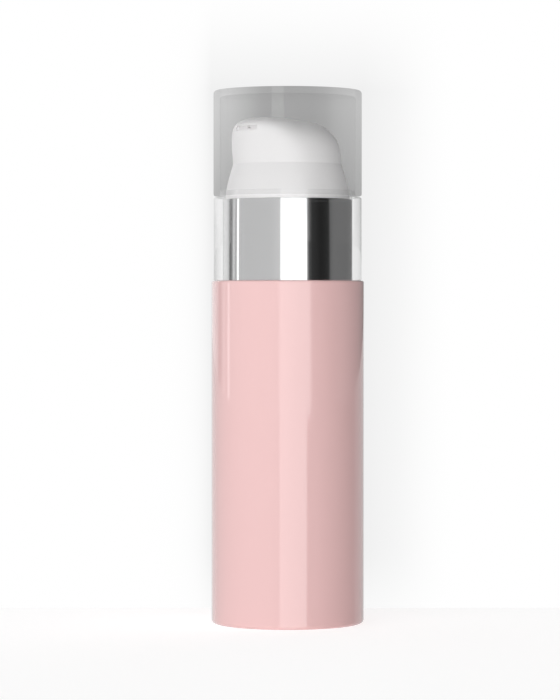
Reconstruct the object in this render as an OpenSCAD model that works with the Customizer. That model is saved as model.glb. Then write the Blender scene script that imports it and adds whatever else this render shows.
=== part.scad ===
// Airless pump bottle with a double-wall body, a clear collar over a bright sleeve and a clear cap.
// Millimetres, +Z up, origin at the middle of the foot. Nozzle of the head points to -X, then turned.

/* [Outer shell] */
// Outer diameter of the shell
shell_d = 34; // [33.2:0.2:38]
// Height of the shell
shell_h = 76.4; // [66:0.2:96]
// Wall of the shell
shell_wall = 1.8; // [1.4:0.1:2]
// Thickness of the shell's top deck
deck_t = 1.6; // [1.2:0.1:2.4]
// Rounding of the edge at the foot
foot_round = 0.9; // [0.4:0.1:1.1]
// Rounding of the edge at the top
shell_top_round = 0.4; // [0.2:0.1:0.8]

/* [Base plug] */
// Height of the plug's underside above the table
plug_lift = 0.5; // [0.3:0.1:1]
// Thickness of the plug's flange
plug_flange_t = 1.1; // [0.8:0.1:1.6]
// Thickness of the plug's floor
plug_floor_t = 1.3; // [1:0.1:2]
// Height of the spigot above the flange
plug_spigot_h = 2.6; // [2.2:0.1:4]
// Depth of the snap bead on the spigot
plug_bead = 0.25; // [0.15:0.05:0.35]
// Diameter of the vent hole
vent_d = 1.6; // [1:0.1:2.5]

/* [Inner bottle] */
// Gap between the inner bottle and the shell
bottle_gap = 1.4; // [1:0.1:2]
// Wall of the inner bottle
bottle_wall = 1.1; // [0.8:0.1:1.3]
// Thickness of the flange at its foot
bottle_foot_t = 1.2; // [0.8:0.1:2]
// Thickness of its shoulder
shoulder_t = 1.6; // [1.2:0.1:2.4]
// Outer diameter of the neck
neck_d = 20.4; // [19.6:0.2:21]
// Wall of the neck
neck_wall = 1.6; // [1.2:0.1:1.9]
// Height of the neck above the shell's deck
neck_rise = 5; // [4.6:0.2:6]
// How far the snap bead stands out of the neck
neck_bead = 0.6; // [0.4:0.1:0.7]
// Number of centring ribs
rib_count = 6; // [3:1:12]

/* [Follower] */
// Height of the follower
follower_h = 8; // [7.6:0.2:10]
// Wall of the follower
follower_wall = 1; // [0.8:0.1:1.3]

/* [Pump] */
// Bore of the pump chamber
chamber_d = 8.2; // [8:0.1:8.8]
// Wall of the pump chamber
chamber_wall = 1.1; // [0.8:0.1:1.3]
// Travel of the pump
stroke = 4.5; // [3.5:0.1:5]
// Diameter of the inlet ball
ball_d = 3.5; // [3:0.1:3.8]
// How far the ball lifts
ball_lift = 0.7; // [0.5:0.05:1]
// Diameter of the inlet
inlet_d = 2.2; // [1.6:0.1:2.4]
// Thickness of the gasket
gasket_t = 0.8; // [0.5:0.1:1.2]
// Thickness of the housing's flange
flange_t = 1.2; // [1:0.1:1.6]
// Height of the sliding seal
seal_h = 2.3; // [2:0.1:2.8]
// How far the seal slips on the stem
seal_slip = 0.7; // [0.4:0.1:1]
// Outer diameter of the stem
stem_d = 4.8; // [4.6:0.1:5.2]
// Bore of the stem
stem_bore_d = 2.4; // [2:0.1:2.6]

/* [Spring] */
// Diameter of the wire
wire_d = 0.7; // [0.5:0.05:0.75]
// Mean diameter of the coil
coil_d = 10.2; // [9.6:0.1:11]
// Number of turns
coil_turns = 6.5; // [5:0.25:7]

/* [Closure] */
// Wall of the closure above its foot
closure_wall = 1.3; // [1:0.1:1.6]
// Height of the closure's foot band
closure_foot_h = 3; // [2:0.2:4]
// Thickness of the lip over the housing's flange
closure_lip_t = 1.2; // [1:0.1:1.8]

/* [Sleeve and collar] */
// How far the collar is set in from the shell
collar_step = 0.52; // [0.3:0.02:1]
// Wall of the clear collar
collar_wall = 2.03; // [1.8:0.01:2.4]
// Thickness of the bright sleeve
sleeve_t = 0.3; // [0.2:0.05:0.4]
// Height of the collar and the sleeve
collar_h = 18.85; // [18:0.05:24]
// Height of the lip that the cap seats on
lip_h = 1.2; // [0.8:0.1:2.4]
// Thickness of that lip
lip_t = 0.6; // [0.4:0.05:0.7]
// Rounding of the clear edges
clear_round = 0.4; // [0.2:0.1:0.6]

/* [Head] */
// Turn of the nozzle towards the front at rest
head_turn = 44; // [0:1:90]
// How far the skirt dips into the sleeve at rest
head_dip = 2.25; // [1.5:0.05:3]
// Height from the skirt's edge to the crease
skirt_h = 9.35; // [8.5:0.05:11]
// How far the skirt flares out under the crease
skirt_flare = 1.72; // [1.2:0.02:2.2]
// Height from the crease to the crown
crown_h = 9.75; // [9:0.05:11.5]
// How far the beak leans out over the crease
beak_lean = 1.75; // [0.8:0.05:2.2]
// Rise of the crown towards the beak, as a slope
crown_slope = 0.05; // [0:0.01:0.08]
// Squareness of the brow over the beak
beak_power = 5.2; // [3:0.1:7]
// Squareness of the back of the crown
back_power = 2.05; // [1.8:0.05:2.6]
// Wall of the head
head_wall = 1.2; // [0.9:0.1:1.5]
// Width of the mouth
mouth_w = 7.4; // [4:0.1:8]
// Height of the mouth
mouth_h = 1; // [0.8:0.05:1.3]
// Width of the nozzle behind the mouth
nozzle_w = 1.8; // [1.4:0.1:3.6]
// Height of the nozzle behind the mouth
nozzle_h = 0.5; // [0.4:0.05:0.8]

/* [Cap] */
// How far the cap stands proud of the collar
cap_proud = 0.05; // [0:0.01:0.2]
// Height of the cap
cap_h = 23.5; // [22.5:0.1:30]
// Thickness of the cap's top
cap_top_t = 1.4; // [1:0.1:2]
// Rounding of the cap's top edge
cap_round = 0.7; // [0.3:0.1:0.9]

/* [Hidden] */
$fn = 96;
fit = 0.05;
slide_fit = 0.1;
nip = 0.01;
eps = 1;

// Shell and base plug
shell_r = shell_d / 2;
shell_bore_r = shell_r - shell_wall;
deck_z = shell_h - deck_t;
plug_step = 0.3;
plug_seat_z = plug_lift + plug_flange_t;
spigot_top_z = plug_seat_z + plug_spigot_h;
bead_h = 0.6;
bead_z = plug_seat_z + plug_spigot_h / 2;
spigot_wall = 2;
plug_floor_z = plug_lift + plug_floor_t;
rest_lift = 0.4;
rest_z = spigot_top_z + rest_lift;
rest_wall = 1;
rib_t = 1;
dish_depth = 0.4;

// Inner bottle
bottle_out_r = shell_bore_r - bottle_gap;
bottle_r = bottle_out_r - bottle_wall;
bottle_flange_r = shell_bore_r - slide_fit;
shoulder_z = deck_z - shoulder_t;
neck_r = neck_d / 2;
neck_bore_r = neck_r - neck_wall;
neck_top_z = shell_h + neck_rise;
neck_bead_r = neck_r + neck_bead;
neck_bead_top_z = neck_top_z - 0.6;
neck_bead_h = 1.2;
neck_bead_z = neck_bead_top_z - neck_bead_h;
deck_hole_r = neck_bead_r + 2 * slide_fit;

// Pump, worked out from the neck's rim downwards
flange_z = neck_top_z + gasket_t;
chamber_top_z = flange_z + flange_t;
chamber_r = chamber_d / 2;
barrel_r = chamber_r + chamber_wall;
guide_spigot_h = 0.8;
stop_t = 0.8;
stop_r = chamber_r - 0.9;
stop_top_z = chamber_top_z - guide_spigot_h;
seal_limit_z = stop_top_z - stop_t;
seal_z = seal_limit_z - seal_slip - seal_h;
tip_head_t = 0.8;
tip_head_r = chamber_r - 0.8;
tip_z = seal_z - tip_head_t;
end_gap = 0.6;
cage_top_z = tip_z - stroke - end_gap;
cage_plate_t = 0.8;
cage_roof_z = cage_top_z - cage_plate_t;
cage_rise = 0.9;
chamber_floor_z = cage_roof_z - cage_rise;
ball_r = ball_d / 2;
ball_gap = 0.02;
ball_z = cage_roof_z - ball_lift - ball_r - ball_gap;
seat_apex_z = ball_z - (ball_r + ball_gap) * sqrt(2);
pocket_r = ball_r + 0.55;
inlet_r = inlet_d / 2;
inlet_len = 1.2;
inlet_wall = 1.2;
inlet_out_r = pocket_r + inlet_wall;
seat_low_z = seat_apex_z + inlet_r;
inlet_z = seat_low_z - inlet_len;
barrel_z = chamber_floor_z - chamber_wall;
flange_r = neck_bead_r;
skirt_plug_wall = 1;
skirt_plug_h = 3.2;
stem_r = stem_d / 2;
stem_bore_r = stem_bore_d / 2;
stem_waist_r = stem_r - 0.5;
guide_wall = 1.1;
guide_rise = 2.5;
guide_flange_t = 0.6;
guide_flange_r = coil_d / 2 + 2.5;
spring_z = chamber_top_z + guide_flange_t;

// Follower, whose well takes the pump's lower end when the bottle is empty
follower_top_z = rest_z + follower_h;
follower_stop_gap = 0.2;
well_gap = 0.6;
well_r = barrel_r + well_gap;
well_z = follower_top_z - (shoulder_z - barrel_z);
deep_well_r = inlet_out_r + well_gap;
deep_well_z = follower_top_z - (shoulder_z - inlet_z);
follower_r = bottle_r - fit;
lip_len = 1.4;
lip_relief = 0.4;

// Closure
closure_bore_r = neck_bead_r + slide_fit;
closure_r = closure_bore_r + closure_wall;
closure_ledge_r = neck_r + slide_fit;
closure_top_z = chamber_top_z + closure_lip_t;
closure_lip_r = guide_flange_r - 0.6;

// Sleeve and collar
collar_r = shell_r - collar_step;
collar_bore_r = collar_r - collar_wall;
sleeve_r = collar_bore_r - slide_fit;
sleeve_bore_r = sleeve_r - sleeve_t;
closure_foot_r = sleeve_bore_r - slide_fit;
collar_top_z = shell_h + collar_h;
lip_r = collar_bore_r + lip_t;
cap_r = collar_r + cap_proud;
cap_bore_r = lip_r + slide_fit;
cap_top_z = collar_top_z + cap_h;

// Head
head_gap = 0.15;
skirt_r = sleeve_bore_r - head_gap;
skirt_z = collar_top_z - head_dip;
crease_z = skirt_z + skirt_h;
crease_r = skirt_r - skirt_flare;
crown_z = crease_z + crown_h;
skirt_straight = 1.5;
skirt_run_out = 0.65;
brow_fade = 1.6;
head_cols = 60;
skirt_rows = 7;
crown_rows = 12;
inner_rows = 5;
hub_z = skirt_z + 1.6;
hub_flange_t = 1;
hub_flange_r = coil_d / 2 + 1.1;
hub_h = 4.4;
hub_r = stem_r + 1.2;
hub_top_z = hub_z + hub_h;
stem_step_z = hub_top_z - 1.6;
stem_nose_r = stem_r - 0.3;
stem_top_z = hub_top_z + 3.6;
socket_top_z = stem_top_z + 0.2;
socket_r = stem_nose_r + fit;
mouth_z = crown_z - 2.05;
mouth_face = crease_r - 0.45;
duct_wall = 0.9;
duct_h = 0.9;
duct_top_z = mouth_z + 0.1;
duct_floor_z = duct_top_z - duct_h;
duct_base_z = duct_floor_z - duct_wall;
core_top_z = crown_z - head_wall - 0.3;
spout_seat = 7.2;
spout_root = crease_r - 0.8;
riser_r = 1.1;
press = 0.02;

// Points of an arc about a centre, from one angle to another
function arc(c, r, a0, a1, n = 7) =
    [for (i = [0:n]) [c.x + r * cos(a0 + (a1 - a0) * i / n), c.y + r * sin(a0 + (a1 - a0) * i / n)]];

module turned(points) {
    rotate_extrude() polygon(points);
}

module tube(r_out, r_in, z0, z1) {
    translate([0, 0, z0]) difference() {
        cylinder(h = z1 - z0, r = r_out);
        translate([0, 0, -eps]) cylinder(h = z1 - z0 + 2 * eps, r = r_in);
    }
}

module disc(r, z0, z1) {
    translate([0, 0, z0]) cylinder(h = z1 - z0, r = r);
}

module outer_shell() {
    groove_r = shell_bore_r + plug_bead + fit;
    half = bead_h / 2 + fit;
    color("pink") turned(concat(
        [[shell_bore_r + plug_step, 0]],
        arc([shell_r - foot_round, foot_round], foot_round, -90, 0),
        arc([shell_r - shell_top_round, shell_h - shell_top_round], shell_top_round, 0, 90),
        [[deck_hole_r, shell_h], [deck_hole_r, deck_z], [shell_bore_r, deck_z]],
        [[shell_bore_r, bead_z + half], [groove_r, bead_z + half]],
        [[groove_r, bead_z - half], [shell_bore_r, bead_z - half]],
        [[shell_bore_r, plug_seat_z], [shell_bore_r + plug_step, plug_seat_z]]));
}

module base_plug() {
    flange_edge_r = shell_bore_r + plug_step - fit;
    spigot_r = shell_bore_r - fit;
    rest_r = bottle_r - 2 * slide_fit - 0.2;
    color("pink") difference() {
        union() {
            disc(flange_edge_r, plug_lift, plug_seat_z);
            disc(spigot_r, plug_lift, plug_floor_z + nip);
            tube(spigot_r, spigot_r - spigot_wall, plug_lift, spigot_top_z);
            tube(spigot_r + plug_bead, spigot_r - 1, bead_z - bead_h / 2, bead_z + bead_h / 2);
            tube(rest_r, rest_r - rest_wall, plug_lift, rest_z);
            for (i = [0:5]) rotate([0, 0, 60 * i])
                translate([vent_d, -rib_t / 2, plug_lift])
                    cube([rest_r - vent_d - rest_wall / 2, rib_t, plug_floor_t + 0.8]);
        }
        disc(spigot_r - spigot_wall, plug_lift - eps, plug_lift + dish_depth);
        disc(vent_d / 2, plug_lift - eps, rest_z);
        for (i = [0:2]) rotate([0, 0, 60 * i + 30])
            translate([-shell_r, -1, spigot_top_z - 0.4]) cube([shell_d, 2, 2]);
    }
}

module inner_bottle() {
    bead_mid_z = neck_bead_z + neck_bead_h / 2;
    color("whitesmoke") {
        turned([[bottle_r, spigot_top_z], [bottle_flange_r, spigot_top_z],
            [bottle_flange_r, spigot_top_z + bottle_foot_t], [bottle_out_r, spigot_top_z + bottle_foot_t],
            [bottle_out_r, shoulder_z], [bottle_flange_r, shoulder_z], [bottle_flange_r, deck_z],
            [neck_r, deck_z], [neck_r, neck_bead_z], [neck_bead_r, neck_bead_z],
            [neck_bead_r, bead_mid_z], [neck_r, neck_bead_top_z], [neck_r, neck_top_z],
            [neck_bore_r, neck_top_z], [neck_bore_r, shoulder_z], [bottle_r, shoulder_z]]);
        for (i = [0:rib_count - 1]) rotate([0, 0, 360 / rib_count * i])
            translate([bottle_out_r - bottle_wall / 2, -rib_t / 2, spigot_top_z])
                cube([bottle_flange_r - bottle_out_r + bottle_wall / 2 - slide_fit, rib_t, deck_z - spigot_top_z]);
    }
}

module follower_piston() {
    top = follower_top_z;
    web_z = top - 1.2 * follower_wall;
    skirt_in_r = follower_r - follower_wall - lip_relief;
    color("white") turned([[0, deep_well_z - follower_wall],
        [deep_well_r + follower_wall, deep_well_z - follower_wall],
        [deep_well_r + follower_wall, well_z - follower_wall],
        [well_r + follower_wall, well_z - follower_wall],
        [well_r + follower_wall, web_z], [skirt_in_r, web_z],
        [skirt_in_r, rest_z + lip_len], [follower_r - follower_wall, rest_z],
        [follower_r, rest_z], [follower_r - lip_relief, rest_z + lip_len],
        [follower_r - lip_relief, top - lip_len], [follower_r, top],
        [follower_r - 0.6, top], [follower_r - 1.4, top - 0.7], [follower_r - 2.2, top],
        [well_r, top], [well_r, well_z], [deep_well_r, well_z], [deep_well_r, deep_well_z],
        [0, deep_well_z]]);
}

module gasket() {
    color("gainsboro") tube(neck_r, neck_bore_r, neck_top_z, flange_z);
}

module pump_housing() {
    plug_r = neck_bore_r - fit;
    notch_w = 0.8;
    color("ghostwhite") difference() {
        union() {
            disc(flange_r, flange_z, chamber_top_z);
            disc(barrel_r, barrel_z, chamber_top_z);
            disc(inlet_out_r, inlet_z, barrel_z + nip);
            tube(plug_r, plug_r - skirt_plug_wall, flange_z - skirt_plug_h, flange_z + nip);
        }
        disc(chamber_r, chamber_floor_z, chamber_top_z + eps);
        disc(pocket_r, seat_apex_z + pocket_r, chamber_floor_z + eps);
        translate([0, 0, seat_low_z]) cylinder(h = pocket_r - inlet_r, r1 = inlet_r, r2 = pocket_r);
        disc(inlet_r, inlet_z - eps, seat_low_z + nip);
        for (a = [0, 90]) rotate([0, 0, a])
            translate([-shell_r, -notch_w / 2, inlet_z - eps]) cube([shell_d, notch_w, eps + 0.6]);
    }
}

module inlet_ball() {
    color("silver") translate([0, 0, ball_z]) sphere(r = ball_r);
}

module ball_cage() {
    hole_r = 0.6;
    color("lavender") difference() {
        disc(chamber_r - fit, chamber_floor_z, cage_top_z);
        disc(pocket_r + 0.3, chamber_floor_z - eps, cage_roof_z);
        for (i = [0:3]) rotate([0, 0, 90 * i])
            translate([pocket_r - hole_r, 0, cage_roof_z - eps]) cylinder(h = cage_plate_t + 2 * eps, r = hole_r);
    }
}

module piston_seal() {
    out_r = chamber_r - fit;
    lip_w = 0.35;
    mid_z = seal_z + seal_h / 2;
    color("lightsteelblue") turned([[stem_waist_r + fit, seal_z], [tip_head_r - 0.3, seal_z],
        [tip_head_r - 0.3, seal_z + 0.5], [out_r - lip_w, seal_z], [out_r, seal_z],
        [out_r - lip_w, mid_z], [out_r, seal_z + seal_h], [out_r - lip_w, seal_z + seal_h],
        [tip_head_r - 0.5, mid_z + 0.4], [tip_head_r - 0.5, seal_z + seal_h],
        [stem_waist_r + fit, seal_z + seal_h]]);
}

module plunger_tip() {
    shank_r = stem_bore_r - press;
    shank_top_z = seal_limit_z + stop_t;
    color("lightsteelblue") difference() {
        union() {
            turned([[0, tip_z], [tip_head_r - 0.7, tip_z], [tip_head_r, tip_z + 0.4],
                [tip_head_r, seal_z], [0, seal_z]]);
            disc(shank_r, seal_z - nip, shank_top_z);
        }
        for (i = [0:2]) rotate([0, 0, 120 * i])
            translate([shank_r, 0, seal_z]) cylinder(h = shank_top_z, r = shank_r / 2);
    }
}

module stem() {
    port_w = 0.8;
    port_h = 0.6;
    color("whitesmoke") difference() {
        union() {
            disc(stem_waist_r, seal_z, seal_limit_z + nip);
            disc(stop_r, seal_limit_z, stop_top_z);
            disc(stem_r, seal_limit_z, stem_step_z);
            disc(stem_nose_r, stem_step_z - nip, stem_top_z);
        }
        disc(stem_bore_r, seal_z - eps, stem_top_z + eps);
        for (a = [0, 90]) rotate([0, 0, a])
            translate([-stem_r, -port_w / 2, seal_z - eps]) cube([stem_d, port_w, port_h + eps]);
    }
}

module stem_guide() {
    color("white") difference() {
        union() {
            disc(chamber_r - fit, stop_top_z, chamber_top_z + nip);
            disc(guide_flange_r, chamber_top_z, spring_z);
            disc(stem_r + guide_wall, chamber_top_z, spring_z + guide_rise);
        }
        disc(stem_r + fit, stop_top_z - eps, spring_z + guide_rise + eps);
    }
}

module closure() {
    ledge_h = 0.8;
    ledge_z = neck_bead_z - fit - ledge_h;
    foot_top = shell_h + closure_foot_h;
    color("white") turned([[closure_bore_r, shell_h], [closure_foot_r, shell_h],
        [closure_foot_r, foot_top], [closure_r, foot_top + 0.8],
        [closure_r, closure_top_z - 0.4], [closure_r - 0.4, closure_top_z],
        [closure_lip_r, closure_top_z], [closure_lip_r, spring_z],
        [guide_flange_r + fit, spring_z], [guide_flange_r + fit, chamber_top_z],
        [closure_bore_r, chamber_top_z], [closure_bore_r, ledge_z + ledge_h],
        [closure_ledge_r, ledge_z + ledge_h], [closure_ledge_r, ledge_z + 0.4],
        [closure_bore_r, ledge_z]]);
}

// The spring is one tube of 8 rings to a turn and 6 sides, pressed between the guide and the hub
coil_rings = 8;
coil_sides = 6;
wire_r = wire_d / 2;
coil_r = coil_d / 2;
wire_flat = wire_r * cos(30);
coil_rise = hub_z - spring_z - 2 * wire_flat;
coil_steps = round(coil_turns * coil_rings);
coil_pitch = coil_rise / coil_steps * coil_rings;
function coil_point(i, k) =
    let (a = 360 / coil_rings * i, b = 60 * k, r = coil_r + wire_r * cos(b))
    [r * cos(a), r * sin(a), spring_z + wire_flat + coil_rise * i / coil_steps + wire_r * sin(b)];
function coil_gap() =
    min([for (k = [0:coil_sides - 1], m = [0:coil_sides - 1])
        norm(coil_point(coil_rings, k) - coil_point(0, m))]);
echo(spring_own_gap_mm = coil_gap());

module main_spring() {
    n = coil_sides;
    points = [for (i = [0:coil_steps], k = [0:n - 1]) coil_point(i, k)];
    sides = [for (i = [0:coil_steps - 1], k = [0:n - 1], t = [0, 1])
        let (a = i * n + k, b = i * n + (k + 1) % n)
        t == 0 ? [a, b, b + n] : [a, b + n, a + n]];
    first = [for (k = [1:n - 2]) [0, k + 1, k]];
    last = [for (k = [1:n - 2]) [coil_steps * n, coil_steps * n + k, coil_steps * n + k + 1]];
    color("silver") polyhedron(points, concat(sides, first, last));
}

module stem_hub() {
    color("white") difference() {
        union() {
            disc(hub_flange_r, hub_z, hub_z + hub_flange_t);
            disc(hub_r, hub_z, hub_top_z);
        }
        disc(stem_r + press, hub_z - eps, stem_step_z);
        disc(stem_nose_r + press, stem_step_z - nip, hub_top_z + eps);
    }
}

// Head surface. Angle a runs from the beak, row v from 0 at the crease to 1 at the crown, and
// inset draws the same form smaller for the inner wall.
function beak_share(a) = (1 + cos(a)) / 2;
function crown_point(a, v, inset) =
    let (n = back_power + (beak_power - back_power) * pow(beak_share(a), brow_fade),
        up = pow(sin(90 * v), 2 / n),
        out = pow(cos(90 * v), 2 / n),
        r = (crease_r - inset + beak_lean * beak_share(a) * up) * out,
        rise = crown_slope * r * cos(a) * pow(sin(90 * v), 3))
    [-r * cos(a), -r * sin(a), crease_z + (crown_h - inset) * up + rise];
function skirt_fall(t) = 3 * t * t - 2 * t * t * t;
function skirt_point(a, v, inset) =
    let (z = skirt_z + skirt_h * v,
        t = max(0, z - skirt_z - skirt_straight) / (skirt_h - skirt_straight + skirt_run_out),
        end = (skirt_h - skirt_straight) / (skirt_h - skirt_straight + skirt_run_out),
        r = skirt_r - (skirt_r - crease_r) * skirt_fall(t) / skirt_fall(end) - inset)
    [-r * cos(a), -r * sin(a), z];
function head_rows(inset, low, high) = concat(
    [for (j = [0:low - 1], i = [0:head_cols - 1]) skirt_point(360 / head_cols * i, j / low, inset)],
    [for (j = [0:high - 1], i = [0:head_cols - 1]) crown_point(360 / head_cols * i, j / high, inset)],
    [crown_point(0, 1, inset)]);

module head_form() {
    n = head_cols;
    outer = head_rows(0, skirt_rows, crown_rows);
    inner = head_rows(head_wall, inner_rows, inner_rows + 2);
    out_rows = skirt_rows + crown_rows;
    in_rows = 2 * inner_rows + 2;
    base = len(outer);
    out_faces = [for (j = [0:out_rows - 2], i = [0:n - 1], t = [0, 1])
        let (a = j * n + i, b = j * n + (i + 1) % n)
        t == 0 ? [a, b, b + n] : [a, b + n, a + n]];
    out_cap = [for (i = [0:n - 1]) [(out_rows - 1) * n + i, (out_rows - 1) * n + (i + 1) % n, base - 1]];
    in_faces = [for (j = [0:in_rows - 2], i = [0:n - 1], t = [0, 1])
        let (a = base + j * n + i, b = base + j * n + (i + 1) % n)
        t == 0 ? [a, b + n, b] : [a, a + n, b + n]];
    in_cap = [for (i = [0:n - 1])
        let (row = base + (in_rows - 1) * n)
        [row + (i + 1) % n, row + i, base + len(inner) - 1]];
    rim = [for (i = [0:n - 1], t = [0, 1])
        let (b = (i + 1) % n)
        t == 0 ? [i, base + i, base + b] : [i, base + b, b]];
    faces = concat(out_faces, out_cap, in_faces, in_cap, rim);
    polyhedron(concat(outer, inner), [for (f = faces) [f[2], f[1], f[0]]]);
}

// The mouth is a shallow pocket. A nozzle runs in from its back through a stub that meets the core,
// and a pad in the crown stops the core.
module head_shell() {
    stub_w = nozzle_w + 2 * duct_wall;
    color("white") rotate([0, 0, head_turn]) difference() {
        union() {
            head_form();
            translate([-spout_root, -stub_w / 2, duct_base_z])
                cube([spout_root - spout_seat, stub_w, core_top_z + 0.6 - duct_base_z]);
            disc(hub_r - 1.4, core_top_z, crown_z - head_wall / 2);
        }
        translate([-shell_r, -mouth_w / 2, mouth_z - mouth_h / 2])
            cube([shell_r - mouth_face, mouth_w, mouth_h]);
        translate([-mouth_face - eps, -nozzle_w / 2, mouth_z - nozzle_h / 2])
            cube([mouth_face - spout_seat + 2 * eps, nozzle_w, nozzle_h]);
    }
}

module spout_core() {
    duct_w = nozzle_w + 2 * duct_wall;
    color("white") rotate([0, 0, head_turn]) difference() {
        union() {
            disc(hub_r, hub_top_z, duct_base_z);
            translate([0, 0, duct_base_z])
                cylinder(h = core_top_z - duct_base_z, r1 = hub_r, r2 = hub_r - 1.4);
            translate([-spout_seat, -duct_w / 2, duct_base_z])
                cube([spout_seat, duct_w, core_top_z - duct_base_z]);
        }
        disc(socket_r, hub_top_z - eps, socket_top_z);
        disc(riser_r, socket_top_z - nip, duct_top_z);
        translate([-spout_seat - eps, -nozzle_w / 2, duct_floor_z])
            cube([spout_seat + eps, nozzle_w, duct_h]);
    }
}

module bright_sleeve() {
    color("silver") tube(sleeve_r, sleeve_bore_r, shell_h, collar_top_z);
}

module clear_collar() {
    r = collar_r;
    k = clear_round;
    color("azure", 0.4) turned(concat(
        [[collar_bore_r, shell_h]],
        arc([r - k, shell_h + k], k, -90, 0),
        arc([r - k, collar_top_z - k], k, 0, 90),
        [[lip_r, collar_top_z], [lip_r, collar_top_z + lip_h - 0.2]],
        [[lip_r - 0.2, collar_top_z + lip_h], [collar_bore_r, collar_top_z + lip_h]]));
}

module overcap() {
    r = cap_r;
    k = clear_round;
    roof_z = cap_top_z - cap_top_t;
    in_round = 0.5;
    color("azure", 0.4) turned(concat(
        [[cap_bore_r, collar_top_z]],
        arc([r - k, collar_top_z + k], k, -90, 0),
        arc([r - cap_round, cap_top_z - cap_round], cap_round, 0, 90),
        [[0, cap_top_z], [0, roof_z]],
        arc([cap_bore_r - in_round, roof_z - in_round], in_round, 90, 0)));
}

outer_shell();
base_plug();
inner_bottle();
follower_piston();
gasket();
pump_housing();
inlet_ball();
ball_cage();
piston_seal();
plunger_tip();
stem();
stem_guide();
closure();
main_spring();
stem_hub();
spout_core();
head_shell();
bright_sleeve();
clear_collar();
overcap();
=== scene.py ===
import math
import bmesh
import bpy
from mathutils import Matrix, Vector


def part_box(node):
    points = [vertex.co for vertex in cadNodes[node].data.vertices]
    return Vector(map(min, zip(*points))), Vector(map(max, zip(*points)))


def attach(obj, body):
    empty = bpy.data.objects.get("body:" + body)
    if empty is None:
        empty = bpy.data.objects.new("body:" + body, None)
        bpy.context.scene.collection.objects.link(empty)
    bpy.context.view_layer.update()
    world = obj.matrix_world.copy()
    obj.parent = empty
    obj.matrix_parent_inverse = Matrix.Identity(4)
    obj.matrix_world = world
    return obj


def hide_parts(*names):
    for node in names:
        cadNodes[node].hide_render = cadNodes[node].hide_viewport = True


# Lengths in the dictionaries are in millimetres, and angles in degrees
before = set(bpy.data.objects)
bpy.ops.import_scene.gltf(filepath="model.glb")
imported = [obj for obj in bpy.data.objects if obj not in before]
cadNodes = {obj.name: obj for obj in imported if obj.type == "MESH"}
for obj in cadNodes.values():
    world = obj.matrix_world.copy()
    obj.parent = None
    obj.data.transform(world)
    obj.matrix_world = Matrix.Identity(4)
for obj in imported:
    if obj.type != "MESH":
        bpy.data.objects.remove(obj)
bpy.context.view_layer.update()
mm = 0.001
degree = math.pi / 180
weld = 0.001 * mm
print("frame loaded:", len(cadNodes), "nodes")


# Edit-mode helpers.

def clearSelection():
    if bpy.context.object and bpy.context.object.mode != "OBJECT":
        bpy.ops.object.mode_set(mode="OBJECT")
    bpy.ops.object.select_all(action="DESELECT")


def makeActive(piece):
    clearSelection()
    piece.select_set(True)
    bpy.context.view_layer.objects.active = piece


def pickEdges(piece, wanted):
    bpy.ops.mesh.select_mode(type="EDGE")
    bpy.ops.mesh.select_all(action="DESELECT")
    mesh = bmesh.from_edit_mesh(piece.data)
    for edge in mesh.edges:
        edge.select_set(all(wanted(v.co) for v in edge.verts))
    bmesh.update_edit_mesh(piece.data)


def roundRing(piece, radius, height, width, segments):
    near = 0.02 * mm
    pickEdges(piece, lambda p: abs(math.hypot(p.x, p.y) - radius) < near and abs(p.z - height) < near)
    bpy.ops.mesh.bevel(offset=width * mm, segments=segments, profile=0.5, affect="EDGES")


def weldAll():
    bpy.ops.mesh.select_all(action="SELECT")
    bpy.ops.mesh.remove_doubles(threshold=weld)
    bpy.ops.mesh.select_all(action="SELECT")


def spinOutline(name, points, steps):
    # One vertex is pulled along the closed outline, which is then spun round the bottle's axis
    clearSelection()
    bpy.ops.mesh.primitive_plane_add(size=mm, location=(0, 0, 0))
    piece = bpy.context.object
    piece.name = name
    bpy.ops.object.mode_set(mode="EDIT")
    bpy.ops.mesh.select_mode(type="VERT")
    bpy.ops.mesh.select_all(action="SELECT")
    bpy.ops.mesh.merge(type="CENTER")
    bpy.ops.transform.translate(value=(points[0][0], 0, points[0][1]))
    last = points[0]
    for point in points[1:] + [points[0]]:
        step = (point[0] - last[0], 0, point[1] - last[1])
        bpy.ops.mesh.extrude_region_move(TRANSFORM_OT_translate={"value": step})
        last = point
    weldAll()
    bpy.ops.mesh.spin(steps=steps, angle=2 * math.pi, center=(0, 0, 0), axis=(0, 0, 1))
    weldAll()
    bpy.ops.mesh.normals_make_consistent(inside=False)
    return piece


def useModifier(piece, kind, name, **settings):
    makeActive(piece)
    modifier = piece.modifiers.new(name, kind)
    for key, value in settings.items():
        setattr(modifier, key, value)
    bpy.ops.object.modifier_apply(modifier=modifier.name)


def finishPiece(piece, finish, body, node, smoothAngle=35):
    makeActive(piece)
    bpy.ops.object.transform_apply(location=True, rotation=True, scale=True)
    bpy.ops.object.shade_smooth_by_angle(angle=math.radians(smoothAngle))
    piece.data.materials.clear()
    piece.data.materials.append(finish)
    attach(piece, body)
    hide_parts(node)
    print("piece:", piece.name, len(piece.data.polygons), "faces")


# Node helpers, and the effects that the finishes share

def addNode(tree, kind, inputs=None, **settings):
    node = tree.nodes.new(kind)
    for key, value in settings.items():
        setattr(node, key, value)
    for key, value in (inputs or {}).items():
        if isinstance(value, bpy.types.NodeSocket):
            tree.links.new(value, node.inputs[key])
        else:
            node.inputs[key].default_value = value
    return node


def calculate(tree, kind, *values):
    return addNode(tree, "ShaderNodeMath", dict(enumerate(values)), operation=kind).outputs[0]


def newGroup(name, inputs, outputs):
    group = bpy.data.node_groups.new(name, "ShaderNodeTree")
    for label, kind, value in inputs:
        socket = group.interface.new_socket(label, in_out="INPUT", socket_type=kind)
        socket.default_value = value
    for label, kind in outputs:
        group.interface.new_socket(label, in_out="OUTPUT", socket_type=kind)
    return group, group.nodes.new("NodeGroupInput"), group.nodes.new("NodeGroupOutput")


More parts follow.
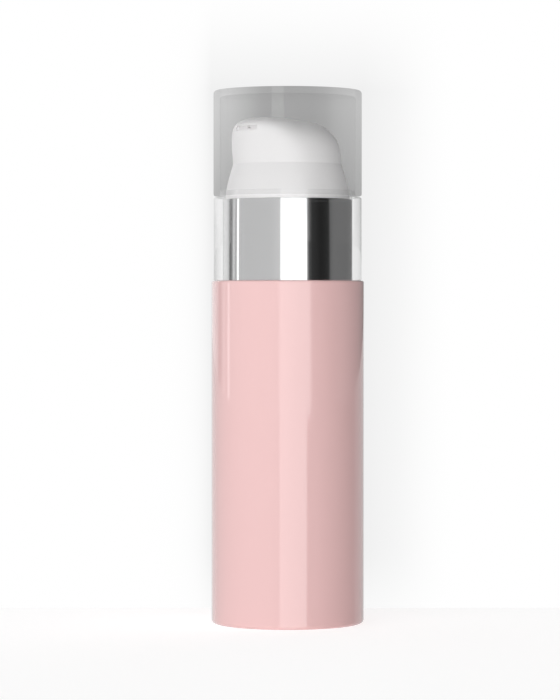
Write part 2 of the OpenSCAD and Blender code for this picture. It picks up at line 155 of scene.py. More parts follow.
def buildMouldedSkin():
    # Slow drift of tone and gloss, and the fine ripple that a mould leaves
    group, start, end = newGroup("mouldedSkin", [
        ("Colour", "NodeSocketColor", (0.8, 0.8, 0.8, 1)),
        ("Shade", "NodeSocketColor", (0.7, 0.7, 0.7, 1)),
        ("Drift", "NodeSocketFloat", 0.2),
        ("Drift scale", "NodeSocketFloat", 60),
        ("Rough low", "NodeSocketFloat", 0.2),
        ("Rough high", "NodeSocketFloat", 0.3),
        ("Ripple scale", "NodeSocketFloat", 900),
    ], [("Colour", "NodeSocketColor"), ("Roughness", "NodeSocketFloat"), ("Height", "NodeSocketFloat")])
    place = addNode(group, "ShaderNodeTexCoord").outputs["Object"]
    slow = addNode(group, "ShaderNodeTexNoise", {
        "Vector": place, "Scale": start.outputs["Drift scale"], "Detail": 3, "Roughness": 0.55})
    fine = addNode(group, "ShaderNodeTexNoise", {
        "Vector": place, "Scale": start.outputs["Ripple scale"], "Detail": 2, "Roughness": 0.5})
    share = calculate(group, "MULTIPLY", slow.outputs["Fac"], start.outputs["Drift"])
    tone = addNode(group, "ShaderNodeMix", {
        "Factor": share, 6: start.outputs["Colour"], 7: start.outputs["Shade"]}, data_type="RGBA")
    gloss = addNode(group, "ShaderNodeMapRange", {
        "Value": slow.outputs["Fac"], "From Min": 0.3, "From Max": 0.7,
        "To Min": start.outputs["Rough low"], "To Max": start.outputs["Rough high"]})
    group.links.new(tone.outputs[2], end.inputs["Colour"])
    group.links.new(gloss.outputs["Result"], end.inputs["Roughness"])
    group.links.new(fine.outputs["Fac"], end.inputs["Height"])
    return group


def buildHandling():
    # Faint smears and hairlines that only show where light glances off
    group, start, end = newGroup("handling", [
        ("Roughness", "NodeSocketFloat", 0.1),
        ("Smear", "NodeSocketFloat", 0.05),
        ("Hairline", "NodeSocketFloat", 0.05),
    ], [("Roughness", "NodeSocketFloat")])
    place = addNode(group, "ShaderNodeTexCoord").outputs["Object"]
    smear = addNode(group, "ShaderNodeTexNoise", {
        "Vector": place, "Scale": 140, "Detail": 4, "Roughness": 0.6, "Distortion": 0.8})
    smearMask = addNode(group, "ShaderNodeMapRange", {
        "Value": smear.outputs["Fac"], "From Min": 0.55, "From Max": 0.75, "To Min": 0, "To Max": 1})
    stretched = addNode(group, "ShaderNodeMapping", {"Vector": place, "Scale": (900, 900, 40)})
    hair = addNode(group, "ShaderNodeTexNoise", {
        "Vector": stretched.outputs["Vector"], "Scale": 1, "Detail": 2})
    hairMask = addNode(group, "ShaderNodeMapRange", {
        "Value": hair.outputs["Fac"], "From Min": 0.68, "From Max": 0.78, "To Min": 0, "To Max": 1})
    smeared = calculate(group, "MULTIPLY_ADD", smearMask.outputs["Result"], start.outputs["Smear"],
                        start.outputs["Roughness"])
    marked = calculate(group, "MULTIPLY_ADD", hairMask.outputs["Result"], start.outputs["Hairline"], smeared)
    group.links.new(marked, end.inputs["Roughness"])
    return group


mouldedSkin = buildMouldedSkin()
handling = buildHandling()


# Finishes: "colour" drifts towards "shade" by "drift", and "rough" is the span of the roughness

def newMaterial(name, look, constants):
    material = bpy.data.materials.new(name)
    material.use_nodes = True
    tree = material.node_tree
    shader = tree.nodes["Principled BSDF"]
    for key, value in constants.items():
        shader.inputs[key].default_value = value
    skin = addNode(tree, "ShaderNodeGroup", node_tree=mouldedSkin)
    skin.inputs["Colour"].default_value = (*look["colour"], 1)
    skin.inputs["Shade"].default_value = (*look["shade"], 1)
    skin.inputs["Drift"].default_value = look["drift"]
    skin.inputs["Drift scale"].default_value = look["driftScale"]
    skin.inputs["Rough low"].default_value, skin.inputs["Rough high"].default_value = look["rough"]
    tree.links.new(skin.outputs["Colour"], shader.inputs["Base Color"])
    return material, tree, shader, skin


def makePlastic(name, look):
    # A solid finish with mould ripple and handling marks; "constants" are set on the shader itself
    material, tree, shader, skin = newMaterial(name, look, look["constants"])
    skin.inputs["Ripple scale"].default_value = look["rippleScale"]
    marks = addNode(tree, "ShaderNodeGroup", node_tree=handling)
    marks.inputs["Smear"].default_value = look["smear"]
    marks.inputs["Hairline"].default_value = look.get("hairline", 0.02)
    tree.links.new(skin.outputs["Roughness"], marks.inputs["Roughness"])
    bump = addNode(tree, "ShaderNodeBump", {
        "Height": skin.outputs["Height"], "Strength": look["bump"], "Distance": 0.02 * mm})
    tree.links.new(marks.outputs["Roughness"], shader.inputs["Roughness"])
    tree.links.new(bump.outputs["Normal"], shader.inputs["Normal"])
    return material


def makeClear(name, look):
    # A clear moulding: the low IOR keeps what stands behind it in place, and the coat gives its gloss
    material, tree, shader, skin = newMaterial(name, look, {
        "Transmission Weight": 1.0, "IOR": look["ior"], "Metallic": 0.0,
        "Coat Weight": look["coat"], "Coat Roughness": 0.01, "Coat IOR": look["coatIor"]})
    tree.links.new(skin.outputs["Roughness"], shader.inputs["Roughness"])
    return material


pinkGloss = makePlastic("pinkGloss", {
    "colour": (0.853, 0.558, 0.551), "shade": (0.835, 0.54, 0.53), "drift": 0.3, "driftScale": 45,
    "rough": (0.03, 0.06), "rippleScale": 1200, "bump": 0.02, "smear": 0.02, "hairline": 0.01,
    "constants": {"IOR": 1.5, "Coat Weight": 0.9, "Coat Roughness": 0.02, "Coat IOR": 1.5}})
headWhite = makePlastic("headWhite", {
    "colour": (0.855, 0.845, 0.847), "shade": (0.838, 0.827, 0.829), "drift": 0.4, "driftScale": 70,
    "rough": (0.28, 0.38), "rippleScale": 1500, "bump": 0.05, "smear": 0.04, "hairline": 0.0,
    "constants": {"IOR": 1.5, "Sheen Weight": 0.15, "Sheen Roughness": 0.5}})
brightMetal = makePlastic("brightMetal", {
    "colour": (0.80, 0.80, 0.805), "shade": (0.77, 0.77, 0.775), "drift": 0.4, "driftScale": 90,
    "rough": (0.002, 0.01), "rippleScale": 1400, "bump": 0.004, "smear": 0.006, "hairline": 0.006,
    "constants": {"Metallic": 1.0}})
capClear = makeClear("capClear", {
    "colour": (0.905, 0.905, 0.905), "shade": (0.89, 0.89, 0.89), "drift": 0.3, "driftScale": 80,
    "rough": (0.02, 0.05), "ior": 1.0, "coat": 0.13, "coatIor": 1.49})
collarClear = makeClear("collarClear", {
    "colour": (0.99, 0.99, 0.99), "shade": (0.98, 0.98, 0.98), "drift": 0.3, "driftScale": 80,
    "rough": (0.0, 0.01), "ior": 1.0, "coat": 1.0, "coatIor": 1.49})
print("finishes made")


# Outer shell: an opaque tube with a deck, open at the foot where the base plug sits
shellLook = {"wall": 1.8, "deck": 1.6, "deckHole": 11.0, "plugStep": 0.3, "plugSeat": 1.6,
             "footRound": 0.9, "footSegments": 6, "topRound": 0.4, "topSegments": 5, "steps": 160}


def makeShell():
    look = shellLook
    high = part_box("outer_shell")[1]
    radius, top = high.x, high.z
    bore = radius - look["wall"] * mm
    step = bore + look["plugStep"] * mm
    seat = look["plugSeat"] * mm
    deck = top - look["deck"] * mm
    hole = look["deckHole"] * mm
    piece = spinOutline("outerShell", [
        (step, 0), (radius, 0), (radius, top), (hole, top), (hole, deck), (bore, deck), (bore, seat),
        (step, seat)], look["steps"])
    roundRing(piece, radius, 0, look["footRound"], look["footSegments"])
    roundRing(piece, radius, top, look["topRound"], look["topSegments"])
    finishPiece(piece, pinkGloss, "bottle", "outer_shell")


makeShell()


# Clear collar over the bright sleeve, with the lip that the cap seats on
collarLook = {"gap": 0.02, "sleeveGap": 0.1, "round": 0.4, "segments": 5, "lipWall": 0.6, "lipHeight": 1.5,
              "lipRound": 0.2, "lipSegments": 3, "steps": 160}


def makeCollar():
    look = collarLook
    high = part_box("clear_collar")[1]
    radius, lipTop = high.x, high.z
    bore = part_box("bright_sleeve")[1].x + look["sleeveGap"] * mm
    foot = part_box("outer_shell")[1].z + look["gap"] * mm
    shoulder = lipTop - look["lipHeight"] * mm
    lip = bore + look["lipWall"] * mm
    piece = spinOutline("clearCollar", [
        (bore, foot), (radius, foot), (radius, shoulder), (lip, shoulder), (lip, lipTop), (bore, lipTop)],
        look["steps"])
    roundRing(piece, radius, foot, look["round"], look["segments"])
    roundRing(piece, radius, shoulder, look["round"], look["segments"])
    roundRing(piece, lip, lipTop, look["lipRound"], look["lipSegments"])
    finishPiece(piece, collarClear, "bottle", "clear_collar")


makeCollar()


# Bright sleeve: a thin mirror-bright tube, whose top stops "below" the solid's
sleeveLook = {"wall": 0.3, "below": 0.75, "round": 0.08, "segments": 3, "steps": 160}


def makeSleeve():
    look = sleeveLook
    low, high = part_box("bright_sleeve")
    radius, wall = high.x, look["wall"] * mm
    top = high.z - look["below"] * mm
    piece = spinOutline("brightSleeve", [
        (radius - wall, low.z), (radius, low.z), (radius, top), (radius - wall, top)], look["steps"])
    roundRing(piece, radius, top, look["round"], look["segments"])
    finishPiece(piece, brightMetal, "bottle", "bright_sleeve")


makeSleeve()


# Cap: hollow, with a flat top and a small rounding all round
capLook = {"gap": 0.03, "top": 1.4, "bore": 15.15, "footRound": 0.4, "footSegments": 5,
           "topRound": 0.7, "topSegments": 7, "innerRound": 0.5, "innerSegments": 5, "steps": 160}


def makeCap():
    look = capLook
    low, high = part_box("overcap")
    radius, foot, top = high.x, low.z + look["gap"] * mm, high.z
    bore = look["bore"] * mm
    roof = top - look["top"] * mm
    piece = spinOutline("overCap", [
        (bore, foot), (radius, foot), (radius, top), (0, top), (0, roof), (bore, roof)], look["steps"])
    roundRing(piece, radius, foot, look["footRound"], look["footSegments"])
    roundRing(piece, radius, top, look["topRound"], look["topSegments"])
    roundRing(piece, bore, roof, look["innerRound"], look["innerSegments"])
    finishPiece(piece, capClear, "cap", "overcap")


makeCap()


# Head: one skin drawn ring by ring, down inside from the crown and up outside, then the duct's stub and the
# wall behind the lip are joined on, and the mouth and its nozzle are cut. "turn" is where the mouth points.
headLook = {"turn": 44, "wall": 1.2, "skirtZ": 93.0, "skirtR": 13.9, "skirtH": 9.35, "straight": 1.5, "flare": 1.5,
            "creaseR": 12.18, "creaseBand": 0.5, "backTrim": 0.02, "crownH": 9.75, "lean": 1.4, "leanFade": 3.5,
            "drop": 1.45, "slope": 0.06, "beakPower": 10, "backPower": 2.6, "browFade": 11,
            "columns": 144, "skirtRows": 16, "crownRows": 36, "innerRows": 12, "rowSpread": 1.5, "smoothAngle": 30,
            "stubIn": 7.2, "stubOut": 12.25, "stubW": 3.6, "stubBase": 108.35, "stubTop": 110.5,
            "lipIn": 10.8, "lipOut": 12.0, "lipW": 7.8, "lipTop": 110.8,
            "mouthFace": 11.75, "mouthOut": 17, "mouthW": 6.6, "mouthH": 1.1, "mouthZ": 110.05,
            "nozzleW": 0.9, "nozzleH": 0.18, "nozzlePast": 1}


def headPoint(angle, row, crown, inset):
    look = headLook
    turned = angle + math.radians(look["turn"])
    beak = (1 + math.cos(angle)) / 2
    crease = look["creaseR"] * (1 - look["backTrim"] * (1 - beak)) - inset
    creaseZ = look["skirtZ"] + look["skirtH"]
    if crown:
        power = look["backPower"] + (look["beakPower"] - look["backPower"]) * beak ** look["browFade"]
        s, c = math.sin(row * math.pi / 2), max(0.0, math.cos(row * math.pi / 2))
        up, out = s ** (2 / power), c ** (2 / power)
        r = (crease + look["lean"] * beak ** look["leanFade"] * up) * out
        brow = look["slope"] * r * max(0, math.cos(angle)) - look["drop"] * beak ** 2 * out ** 5
        rise = (look["crownH"] - inset) * up + brow * s ** 3
        z = creaseZ + rise
    else:
        z = look["skirtZ"] + look["skirtH"] * row
        t = max(0, look["skirtH"] * row - look["straight"]) / (look["skirtH"] - look["straight"])
        r = look["skirtR"] - inset - (look["skirtR"] - inset - crease) * t ** look["flare"]
    return Vector((-r * math.cos(turned), -r * math.sin(turned), z)) * mm


def headRows():
    # As (row, on the crown or not, inset). The crown's rows close up towards its top, where it turns fastest.
    look = headLook
    inner, outer, wall = look["innerRows"], look["skirtRows"], look["wall"]

    def crownSteps(count):
        return [1 - (1 - j / count) ** look["rowSpread"] for j in range(1, count)]

    rows = [(row, True, wall) for row in reversed(crownSteps(2 * inner))]
    rows += [(1 - j / inner, False, wall) for j in range(inner + 1)]
    rows += [(j / outer, False, 0) for j in range(outer + 1)]
    rows += [(row, True, 0) for row in crownSteps(look["crownRows"])]
    return rows


def drawHead():
    look = headLook
    columns = look["columns"]
    clearSelection()
    bpy.ops.mesh.primitive_circle_add(vertices=columns, radius=look["skirtR"] * mm, location=(0, 0, 0))
    piece = bpy.context.object
    piece.name = "headShell"
    bpy.ops.object.mode_set(mode="EDIT")

    def closeTop(inset):
        bpy.ops.mesh.edge_face_add()
        bpy.ops.mesh.poke()
        mesh = bmesh.from_edit_mesh(piece.data)
        for v in mesh.verts:
            if v.select and len(v.link_edges) == columns:
                v.co = headPoint(0, 1, True, inset)
        bmesh.update_edit_mesh(piece.data)

    for index, (row, crown, inset) in enumerate(headRows()):
        bpy.ops.mesh.select_mode(type="VERT")
        if index:
            bpy.ops.mesh.extrude_region_move(TRANSFORM_OT_translate={"value": (0, 0, 0.01 * mm)})
        else:
            bpy.ops.mesh.select_all(action="SELECT")
        mesh = bmesh.from_edit_mesh(piece.data)
        for v in mesh.verts:
            if v.select:
                angle = math.atan2(v.co.y, v.co.x) - math.radians(look["turn"]) + math.pi
                v.co = headPoint(angle, row, crown, inset)
        bmesh.update_edit_mesh(piece.data)
    closeTop(0)
    bpy.ops.mesh.select_all(action="DESELECT")
    mesh = bmesh.from_edit_mesh(piece.data)
    mesh.verts.ensure_lookup_table()
    for v in mesh.verts[:columns]:
        v.select_set(True)
    mesh.select_flush(True)
    bmesh.update_edit_mesh(piece.data)
    closeTop(look["wall"])
    bpy.ops.mesh.select_all(action="SELECT")
    bpy.ops.mesh.normals_make_consistent(inside=False)
    bpy.ops.object.mode_set(mode="OBJECT")
    return piece


def cutMouth(piece):
    look = headLook
    turn = math.radians(look["turn"])
    along = Vector((-math.cos(turn), -math.sin(turn), 0))
    face = look["mouthFace"]

    def block(name, near, far, width, base, top):
        clearSelection()
        middle = along * (near + far) / 2 * mm + Vector((0, 0, (base + top) / 2 * mm))
        bpy.ops.mesh.primitive_cube_add(size=1, location=middle, rotation=(0, 0, turn),
                                        scale=((far - near) * mm, width * mm, (top - base) * mm))
        tool = bpy.context.object
        tool.name = name
        return tool

    def slot(name, near, far, width, height):
        return block(name, near, far, width, look["mouthZ"] - height / 2, look["mouthZ"] + height / 2)

    base = look["stubBase"]
    past = look["nozzlePast"]
    tools = [("UNION", block("stub", look["stubIn"], look["stubOut"], look["stubW"], base, look["stubTop"])),
             ("UNION", block("lipBack", look["lipIn"], look["lipOut"], look["lipW"], base, look["lipTop"])),
             ("DIFFERENCE", slot("mouth", face, look["mouthOut"], look["mouthW"], look["mouthH"])),
             ("DIFFERENCE", slot("nozzle", look["stubIn"] - past, face + past, look["nozzleW"], look["nozzleH"]))]
    for operation, tool in tools:
        useModifier(piece, "BOOLEAN", tool.name, operation=operation, solver="EXACT", object=tool)
        bpy.data.objects.remove(tool)


def makeHead():
    look = headLook
    piece = drawHead()
    cutMouth(piece)
    # the skirt meets the crown in a crisp line
    makeActive(piece)
    bpy.ops.object.mode_set(mode="EDIT")
    line = (look["skirtZ"] + look["skirtH"]) * mm
    inside = (look["creaseR"] - look["creaseBand"]) * mm
    pickEdges(piece, lambda p: abs(p.z - line) < 0.01 * mm and math.hypot(p.x, p.y) > inside)
    bpy.ops.mesh.mark_sharp()
    finishPiece(piece, headWhite, "head", "head_shell", look["smoothAngle"])


makeHead()


# The pieces that stay as they were drawn get their finishes here, by what they are made of
innerDrift = 0.5
innerFinishes = {
    "pinkPlug": {
        "nodes": ["base_plug"], "colour": (0.84, 0.56, 0.55), "shade": (0.81, 0.53, 0.52), "rough": (0.3, 0.42),
        "driftScale": 80, "rippleScale": 1600, "bump": 0.12, "smear": 0.06, "constants": {"IOR": 1.5}},
    "naturalPlastic": {
        "nodes": ["inner_bottle", "pump_housing", "ball_cage", "plunger_tip", "stem"],
        "colour": (0.88, 0.88, 0.86), "shade": (0.83, 0.84, 0.82), "rough": (0.26, 0.38), "driftScale": 120,
        "rippleScale": 1100, "bump": 0.1, "smear": 0.04, "constants": {"IOR": 1.35, "Transmission Weight": 0.35}},
    "softWhite": {
        "nodes": ["follower_piston", "piston_seal"], "colour": (0.90, 0.90, 0.88), "shade": (0.86, 0.86, 0.84),
        "rough": (0.36, 0.5), "driftScale": 150, "rippleScale": 1300, "bump": 0.15, "smear": 0.05,
        "constants": {"IOR": 1.5}},
    "gasketRubber": {
        "nodes": ["gasket"], "colour": (0.78, 0.78, 0.76), "shade": (0.72, 0.72, 0.70), "rough": (0.5, 0.65),
        "driftScale": 300, "rippleScale": 2600, "bump": 0.3, "smear": 0.02, "constants": {"IOR": 1.48}},
    "mouldedWhite": {
        "nodes": ["stem_guide", "closure", "stem_hub", "spout_core"], "colour": (0.90, 0.90, 0.90),
        "shade": (0.87, 0.87, 0.87), "rough": (0.3, 0.4), "driftScale": 110, "rippleScale": 1500, "bump": 0.08,
        "smear": 0.03, "constants": {"IOR": 1.5}},
    "polishedSteel": {
        "nodes": ["inlet_ball"], "colour": (0.72, 0.72, 0.73), "shade": (0.66, 0.66, 0.68), "rough": (0.04, 0.09),
        "driftScale": 600, "rippleScale": 4000, "bump": 0.02, "smear": 0.03, "constants": {"Metallic": 1.0}},
    "springSteel": {
        "nodes": ["main_spring"], "colour": (0.66, 0.66, 0.68), "shade": (0.56, 0.56, 0.58), "rough": (0.16, 0.3),
        "driftScale": 500, "rippleScale": 5000, "bump": 0.12, "smear": 0.05, "hairline": 0.08,
        "constants": {"Metallic": 1.0}}}


def dressInnerPieces():
    for name, look in innerFinishes.items():
        finish = makePlastic(name, {"drift": innerDrift, **look})
        for node in look["nodes"]:
            for place in cadNodes[node].material_slots:
                place.material = finish
        print("finish:", name, "on", len(look["nodes"]), "pieces")


dressInnerPieces()


# World. Every table holds (degrees, brightness), and heights are the upward share of a direction of length 1.
# In the first four, degrees count from the camera's side, and + is to the right.
worldLook = {
    # what the gloss shows below eye level, where the body reflects, and above it, where the sleeve does
    "lowBands": [
        (-180, 0.43), (-177, 0.5), (-172, 0.85), (-167, 0.8), (-150, 0.72), (-132, 0.58), (-100, 0.56), (-40, 0.62),
        (-12.6, 0.64), (-12.0, 1.65), (28.8, 1.65), (29.6, 0.06), (60, 0.03), (80, 0.05), (100, 0.08), (119, 0.16),
        (126, 0.42), (140, 0.5), (160, 0.55), (172, 0.65), (177, 0.5), (180, 0.43)],
    "highBands": [
        (-180, 0.6), (-92, 0.62), (-30, 0.64), (-16, 0.70), (-13.5, 0.72), (-12.5, 1.3), (-11, 1.65), (34.2, 1.65),
        (35.3, 0.5), (38.5, 0.1), (45, 0.04), (61, 0.02), (75, 0.026), (79.5, 0.045), (82.5, 0.15), (90, 0.19),
        (135, 0.18), (160, 0.19), (168, 0.3), (180, 0.45)],
    # the high bands again, finer, for the left side up to "leftEnd"
    "leftBands": [
        (-180, 0.7), (-168, 0.85), (-158.8, 0.97), (-144.2, 0.90), (-136, 0.78), (-132.8, 0.66), (-129.6, 0.48),
        (-127.0, 0.10), (-124.5, 0.17), (-121.8, 0.17), (-118.3, 0.36), (-114.9, 0.67), (-112.0, 0.82),
        (-110.2, 0.66), (-108.5, 0.56), (-105.5, 0.54), (-97, 0.66), (-94, 0.64), (-92, 0.62)],
    "leftEnd": -92,
    "split": (0.0072, 0.0076),
    "glossRise": [(-1, 0.6), (-0.3, 1.0), (0.35, 1.0), (0.75, 0.35), (1, 0.2)],
    # two narrow lights on the left: a low one draws the fine line on the body, a high one shows in the sleeve
    "thinLights": [
        {"turn": -75, "halfWidth": 0.6, "low": -0.0462, "high": -0.0234, "strength": 1.6},
        {"turn": -100.95, "halfWidth": 2.4, "low": 0.0074, "high": 0.5, "strength": 1.7}],
    # the soft light itself, which shades matt surfaces
    "softBands": [
        (-180, 0.96), (-150, 0.66), (-125, 0.56), (-100, 0.3), (-80, 0.19), (-60, 0.51), (-40, 1.05), (-20, 1.53),
        (0, 1.41), (20, 0.6), (40, 0.12), (60, 0.0), (80, 0.0), (100, 0.0), (125, 0.06), (150, 0.62), (180, 0.96)],
    "softRise": [(-1, 0.9), (-0.02, 1.5), (0.1, 1.2), (0.2, 0.75), (0.45, 0.35), (0.8, 0.26), (1, 0.24)],
    "softGain": 2.5,
    # what shows straight through the cap and the collar, by degrees to either side of dead ahead; the cap's dark
    # middle, its lighter sides and the collar's thin lines here are painted shade and light of the clear pieces, not
    # anything that stands behind them
    "behindCap": [
        (-2, 0.72), (-1.18, 0.705), (-1.11, 0.69), (-1.05, 0.735), (-0.906, 0.70), (-0.723, 0.639), (-0.54, 0.567),
        (-0.357, 0.493), (-0.21, 0.467), (-0.15, 0.467), (-0.143, 0.528), (0.06, 0.512), (0.075, 0.446),
        (0.467, 0.446), (0.595, 0.461), (0.833, 0.499), (1.016, 0.567), (1.2, 0.602), (1.36, 0.635), (1.39, 0.59),
        (2, 0.6)],
    "behindCollar": [
        (-2, 1.0), (-1.3, 1.0), (-1.24, 0.74), (-1.2, 0.76), (-1.16, 0.9), (-1.12, 0.95), (-1.05, 1.0), (1.325, 1.0),
        (1.345, 0.94), (1.364, 0.88), (1.40, 0.86), (1.437, 0.84), (1.474, 0.78), (1.52, 0.78), (1.58, 1.0),
        (2, 1.0)],
    "behindRise": [(0.0345, 0.73), (0.0415, 0.80), (0.0495, 0.88), (0.0635, 0.99), (0.068, 0.95), (0.1, 0.95)],
    "capFoot": (0.0343, 0.0347),
    # beyond this much to the side or up, the clear pieces look out on one plain tone
    "nearTurn": 2.2, "nearLift": 0.09, "elsewhere": 0.8}


def makeWorld():
    look = worldLook
    world = bpy.data.worlds.new("studio")
    bpy.context.scene.world = world
    world.use_nodes = True
    tree = world.node_tree
    tree.nodes.clear()

    def sums(kind, *values):
        return calculate(tree, kind, *values)

    def spread(value, low, high):
        return addNode(tree, "ShaderNodeMapRange", {
            "Value": value, "From Min": low, "From Max": high}).outputs["Result"]

    def bands(stops, value, scale=1.0):
        # a table as a colour ramp, which runs from its first stop to its last
        low, high = stops[0][0], stops[-1][0]
        node = addNode(tree, "ShaderNodeValToRGB", {"Fac": spread(value, low * scale, high * scale)})
        for index, (position, tone) in enumerate(stops):
            place = (position - low) / (high - low)
            elements = node.color_ramp.elements
            element = elements[index] if index < 2 else elements.new(place)
            element.position = place
            element.color = (tone, tone, tone, 1)
        return node.outputs["Color"]

    def blend(factor, a, b, kind="MIX"):
        return addNode(tree, "ShaderNodeMix", {"Factor": factor, 6: a, 7: b},
                       data_type="RGBA", blend_type=kind).outputs[2]

    def grey(tone):
        return (tone, tone, tone, 1)

    def background(colour, strength=1.0):
        return addNode(tree, "ShaderNodeBackground", {"Color": colour, "Strength": strength}).outputs[0]

    def choose(factor, a, b):
        return addNode(tree, "ShaderNodeMixShader", {0: factor, 1: a, 2: b}).outputs[0]

    direction = addNode(tree, "ShaderNodeTexCoord").outputs["Generated"]
    parts = addNode(tree, "ShaderNodeSeparateXYZ", {0: direction})
    across, away, lift = parts.outputs["X"], parts.outputs["Y"], parts.outputs["Z"]
    turn = sums("ARCTAN2", across, sums("MULTIPLY", away, -1.0))
    upper = blend(sums("LESS_THAN", turn, look["leftEnd"] * degree), bands(look["highBands"], turn, degree),
                  bands(look["leftBands"], turn, degree))
    gloss = blend(spread(lift, *look["split"]), bands(look["lowBands"], turn, degree), upper)
    for light in look["thinLights"]:
        aside = sums("ABSOLUTE", sums("SUBTRACT", turn, light["turn"] * degree))
        level = sums("MULTIPLY", sums("GREATER_THAN", lift, light["low"]), sums("LESS_THAN", lift, light["high"]))
        inside = sums("MULTIPLY", sums("LESS_THAN", aside, light["halfWidth"] * degree), level)
        gloss = blend(inside, gloss, grey(light["strength"]))
    gloss = blend(1.0, gloss, bands(look["glossRise"], lift), "MULTIPLY")
    soft = blend(1.0, bands(look["softBands"], turn, degree), bands(look["softRise"], lift), "MULTIPLY")

    # painted shade and light of the clear pieces, seen only straight through them near dead ahead
    ahead = sums("ARCTAN2", across, away)
    behind = blend(1.0, bands(look["behindCap"], ahead, degree), bands(look["behindRise"], lift), "MULTIPLY")
    behind = blend(spread(lift, *look["capFoot"]), bands(look["behindCollar"], ahead, degree), behind)
    near = sums("MULTIPLY", sums("LESS_THAN", sums("ABSOLUTE", ahead), look["nearTurn"] * degree),
                sums("LESS_THAN", sums("ABSOLUTE", lift), look["nearLift"]))
    behind = blend(near, grey(look["elsewhere"]), behind)

    path = addNode(tree, "ShaderNodeLightPath")
    bounced = sums("GREATER_THAN", path.outputs["Diffuse Depth"], 0.5)
    mirrored = sums("GREATER_THAN", path.outputs["Glossy Depth"], 0.5)
    straight = sums("MULTIPLY", path.outputs["Is Transmission Ray"],
                    sums("SUBTRACT", 1.0, sums("MAXIMUM", bounced, mirrored)))
    sky = choose(bounced, background(gloss), background(soft, look["softGain"]))
    sky = choose(straight, sky, background(behind))
    sky = choose(path.outputs["Is Camera Ray"], sky, background(grey(1)))
    addNode(tree, "ShaderNodeOutputWorld", {"Surface": sky})
    print("world made")


makeWorld()


def newStageMaterial(name):
    material = bpy.data.materials.new(name)
    material.use_nodes = True
    material.node_tree.nodes.clear()
    return material, material.node_tree


def addGlow(tree, strength):
    return addNode(tree, "ShaderNodeEmission", {"Color": (1, 1, 1, 1), "Strength": strength}).outputs[0]


# Floor: it glows a little less where no one sees it, so that its light on the bottle stays right.
# The size is in metres.
floorLook = {"size": 3.0, "below": 0.02, "tone": 0.6, "seenGlow": 0.69, "glow": 0.58}


def makeFloor():
    look = floorLook
    clearSelection()
    bpy.ops.mesh.primitive_plane_add(size=look["size"], location=(0, 0, -look["below"] * mm))
    floor = bpy.context.object
    floor.name = "floor"
    material, tree = newStageMaterial("paleFloor")
    path = addNode(tree, "ShaderNodeLightPath").outputs
    direct = calculate(tree, "LESS_THAN", path["Diffuse Depth"], 0.5)
    through = calculate(tree, "MULTIPLY", path["Is Transmission Ray"], direct)
    seen = calculate(tree, "MAXIMUM", path["Is Camera Ray"], through)
    glow = addNode(tree, "ShaderNodeMixShader", {
        0: seen, 1: addGlow(tree, look["glow"]), 2: addGlow(tree, look["seenGlow"])})
    tone = look["tone"]
    matt = addNode(tree, "ShaderNodeBsdfDiffuse", {"Color": (tone, tone, tone, 1)})
    both = addNode(tree, "ShaderNodeAddShader", {0: glow.outputs[0], 1: matt.outputs[0]})
    # what the bright sleeve mirrors is the studio's own light, not the floor, which is clear from below too
    mirrored = calculate(tree, "GREATER_THAN", path["Glossy Depth"], 0.5)
    side = addNode(tree, "ShaderNodeNewGeometry").outputs["Backfacing"]
    clear = addNode(tree, "ShaderNodeBsdfTransparent")
    shown = addNode(tree, "ShaderNodeMixShader", {
        0: calculate(tree, "MAXIMUM", mirrored, side), 1: both.outputs[0], 2: clear.outputs[0]})
    addNode(tree, "ShaderNodeOutputMaterial", {"Surface": shown.outputs[0]})
    floor.data.materials.append(material)
    floor.visible_glossy = False
    print("floor made")


makeFloor()


# A pale card close behind the bottle, with a soft shadow painted round the bottle's outline. The painted shadow
# starts at "left", "right" and "crown"; each fade is (axis, from, to, share at from, share at to).
shadowCardLook = {"away": 34, "wide": 160, "top": 170, "left": 17.7, "right": 17.9, "crown": 121, "leftReach": 2.8,
            "rightReach": 17, "crownReach": 13, "paintedShadow": 0.13,
            "fades": [("x", 24, 40, 1, 0), ("z", 128, 150, 1, 0), ("z", -4, 16, 0.35, 1), ("x", -40, -30, 0, 1)]}


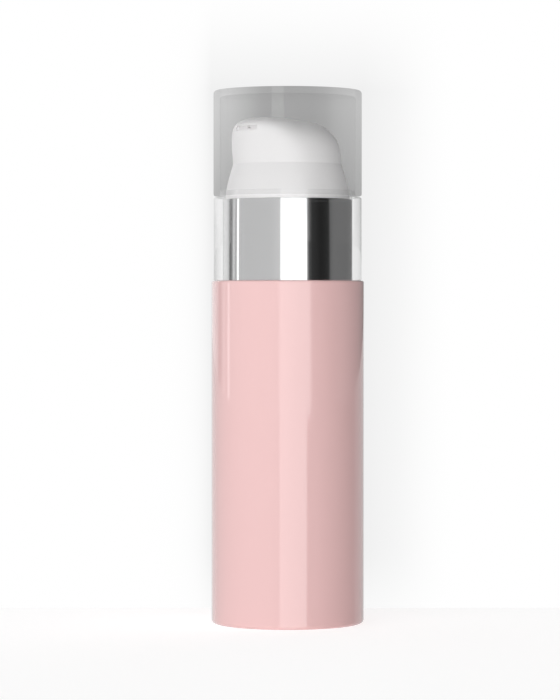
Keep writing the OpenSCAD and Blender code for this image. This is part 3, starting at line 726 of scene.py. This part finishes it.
def makeShadowCard():
    look = shadowCardLook
    clearSelection()
    bpy.ops.mesh.primitive_plane_add(size=1, location=(0, look["away"] * mm, look["top"] / 2 * mm),
                                     rotation=(math.radians(90), 0, 0),
                                     scale=(look["wide"] * mm, look["top"] * mm, 1))
    card = bpy.context.object
    card.name = "paleBack"
    bpy.ops.object.transform_apply(location=True, rotation=True, scale=True)
    material, tree = newStageMaterial("paleBack")

    def sums(kind, *values):
        return calculate(tree, kind, *values)

    place = addNode(tree, "ShaderNodeTexCoord").outputs["Object"]
    parts = addNode(tree, "ShaderNodeSeparateXYZ", {0: place})
    axes = {"x": parts.outputs["X"], "z": parts.outputs["Z"]}
    shares = []
    for value, edge, reach in ((sums("MULTIPLY", axes["x"], -1), look["left"], look["leftReach"]),
                               (axes["x"], look["right"], look["rightReach"]),
                               (axes["z"], look["crown"], look["crownReach"])):
        beyond = sums("MAXIMUM", sums("SUBTRACT", value, edge * mm), 0.0)
        shares.append(sums("DIVIDE", beyond, reach * mm))
    out = sums("ADD", sums("ADD", shares[0], shares[1]), shares[2])
    # painted shadow: the card's glow drops by up to this share close to the bottle's outline
    paintedShadow = sums("MULTIPLY", sums("EXPONENT", sums("MULTIPLY", out, -1)), look["paintedShadow"])
    for axis, start, end, low, high in look["fades"]:
        fade = addNode(tree, "ShaderNodeMapRange", {
            "Value": axes[axis], "From Min": start * mm, "From Max": end * mm, "To Min": low, "To Max": high},
            interpolation_type="SMOOTHSTEP")
        paintedShadow = sums("MULTIPLY", paintedShadow, fade.outputs["Result"])
    side = addNode(tree, "ShaderNodeNewGeometry").outputs["Backfacing"]
    clear = addNode(tree, "ShaderNodeBsdfTransparent")
    shown = addNode(tree, "ShaderNodeMixShader", {
        0: side, 1: addGlow(tree, sums("SUBTRACT", 1.0, paintedShadow)), 2: clear.outputs[0]})
    addNode(tree, "ShaderNodeOutputMaterial", {"Surface": shown.outputs[0]})
    card.data.materials.append(material)
    card.visible_diffuse = card.visible_glossy = card.visible_transmission = card.visible_shadow = False
    print("card made")


makeShadowCard()


# Camera: the clip distances are in metres
cameraLook = {"x": -1.7, "y": -699, "z": 71, "pitch": -0.824, "lens": 161, "sensor": 36, "clip": (0.01, 20)}


def makeCamera():
    look = cameraLook
    data = bpy.data.cameras.new("camera")
    camera = bpy.data.objects.new("camera", data)
    bpy.context.scene.collection.objects.link(camera)
    data.lens = look["lens"]
    data.sensor_width = look["sensor"]
    data.clip_start, data.clip_end = look["clip"]
    camera.location = Vector((look["x"], look["y"], look["z"])) * mm
    camera.rotation_euler = (math.radians(90 + look["pitch"]), 0, 0)
    bpy.context.scene.camera = camera
    print("camera made")


makeCamera()
bpy.context.scene.view_settings.view_transform = "Standard"

print("scene made")
